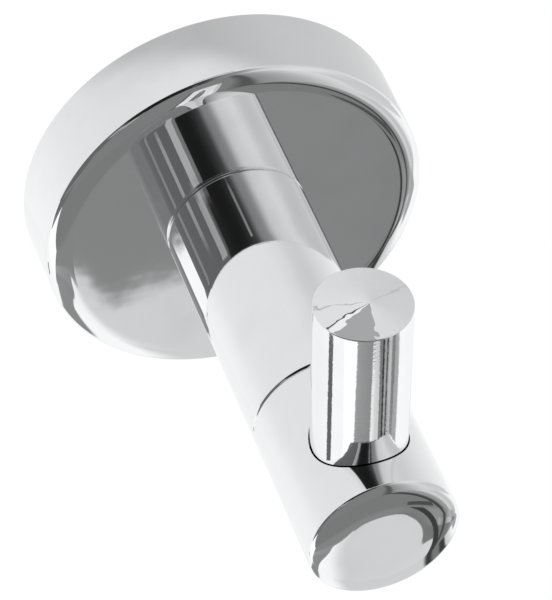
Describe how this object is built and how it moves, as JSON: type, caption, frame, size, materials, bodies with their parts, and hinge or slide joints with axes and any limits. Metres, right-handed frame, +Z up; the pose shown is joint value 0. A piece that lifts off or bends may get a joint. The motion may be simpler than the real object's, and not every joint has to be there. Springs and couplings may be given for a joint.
{
  "type": "towel hook",
  "caption": "Polished towel hook: a round rosette on a concealed wall plate carries a round post whose solid head holds an upright round peg with a low conical tip.",
  "frame": {"origin": "centre of the wall plate's back face, in the wall's plane on the post's axis", "axes": "+Y into the wall, so the hook projects along -Y; +Z up, the way the peg points; +X to the right seen from the front"},
  "size_m": [0.054, 0.072, 0.0601],
  "materials": {
    "polished_chrome": "mirror polished",
    "zinc_steel": "bright zinc plated",
    "dark_steel": "black oxide",
    "turned_brass": "turned"
  },
  "bodies": {
    "wall_plate": {"wall_plate": "zinc_steel"},
    "hook": {"rosette": "polished_chrome", "post_tube": "polished_chrome", "head": "polished_chrome", "peg": "polished_chrome", "peg_stud": "dark_steel", "tie_bolt": "zinc_steel", "lock_washer": "zinc_steel", "flat_washer": "zinc_steel", "rear_bush": "turned_brass", "locating_pin": "dark_steel"},
    "set_screw": {"set_screw": "dark_steel"}
  },
  "joints": [
    {"name": "hook_release", "type": "slide", "parent": "wall_plate", "child": "hook", "axis": [0, -1, 0], "range_m": [0, 0.008]},
    {"name": "set_screw_travel", "type": "slide", "parent": "hook", "child": "set_screw", "axis": [0, 0, -1], "range_m": [0, 0.002]}
  ]
}
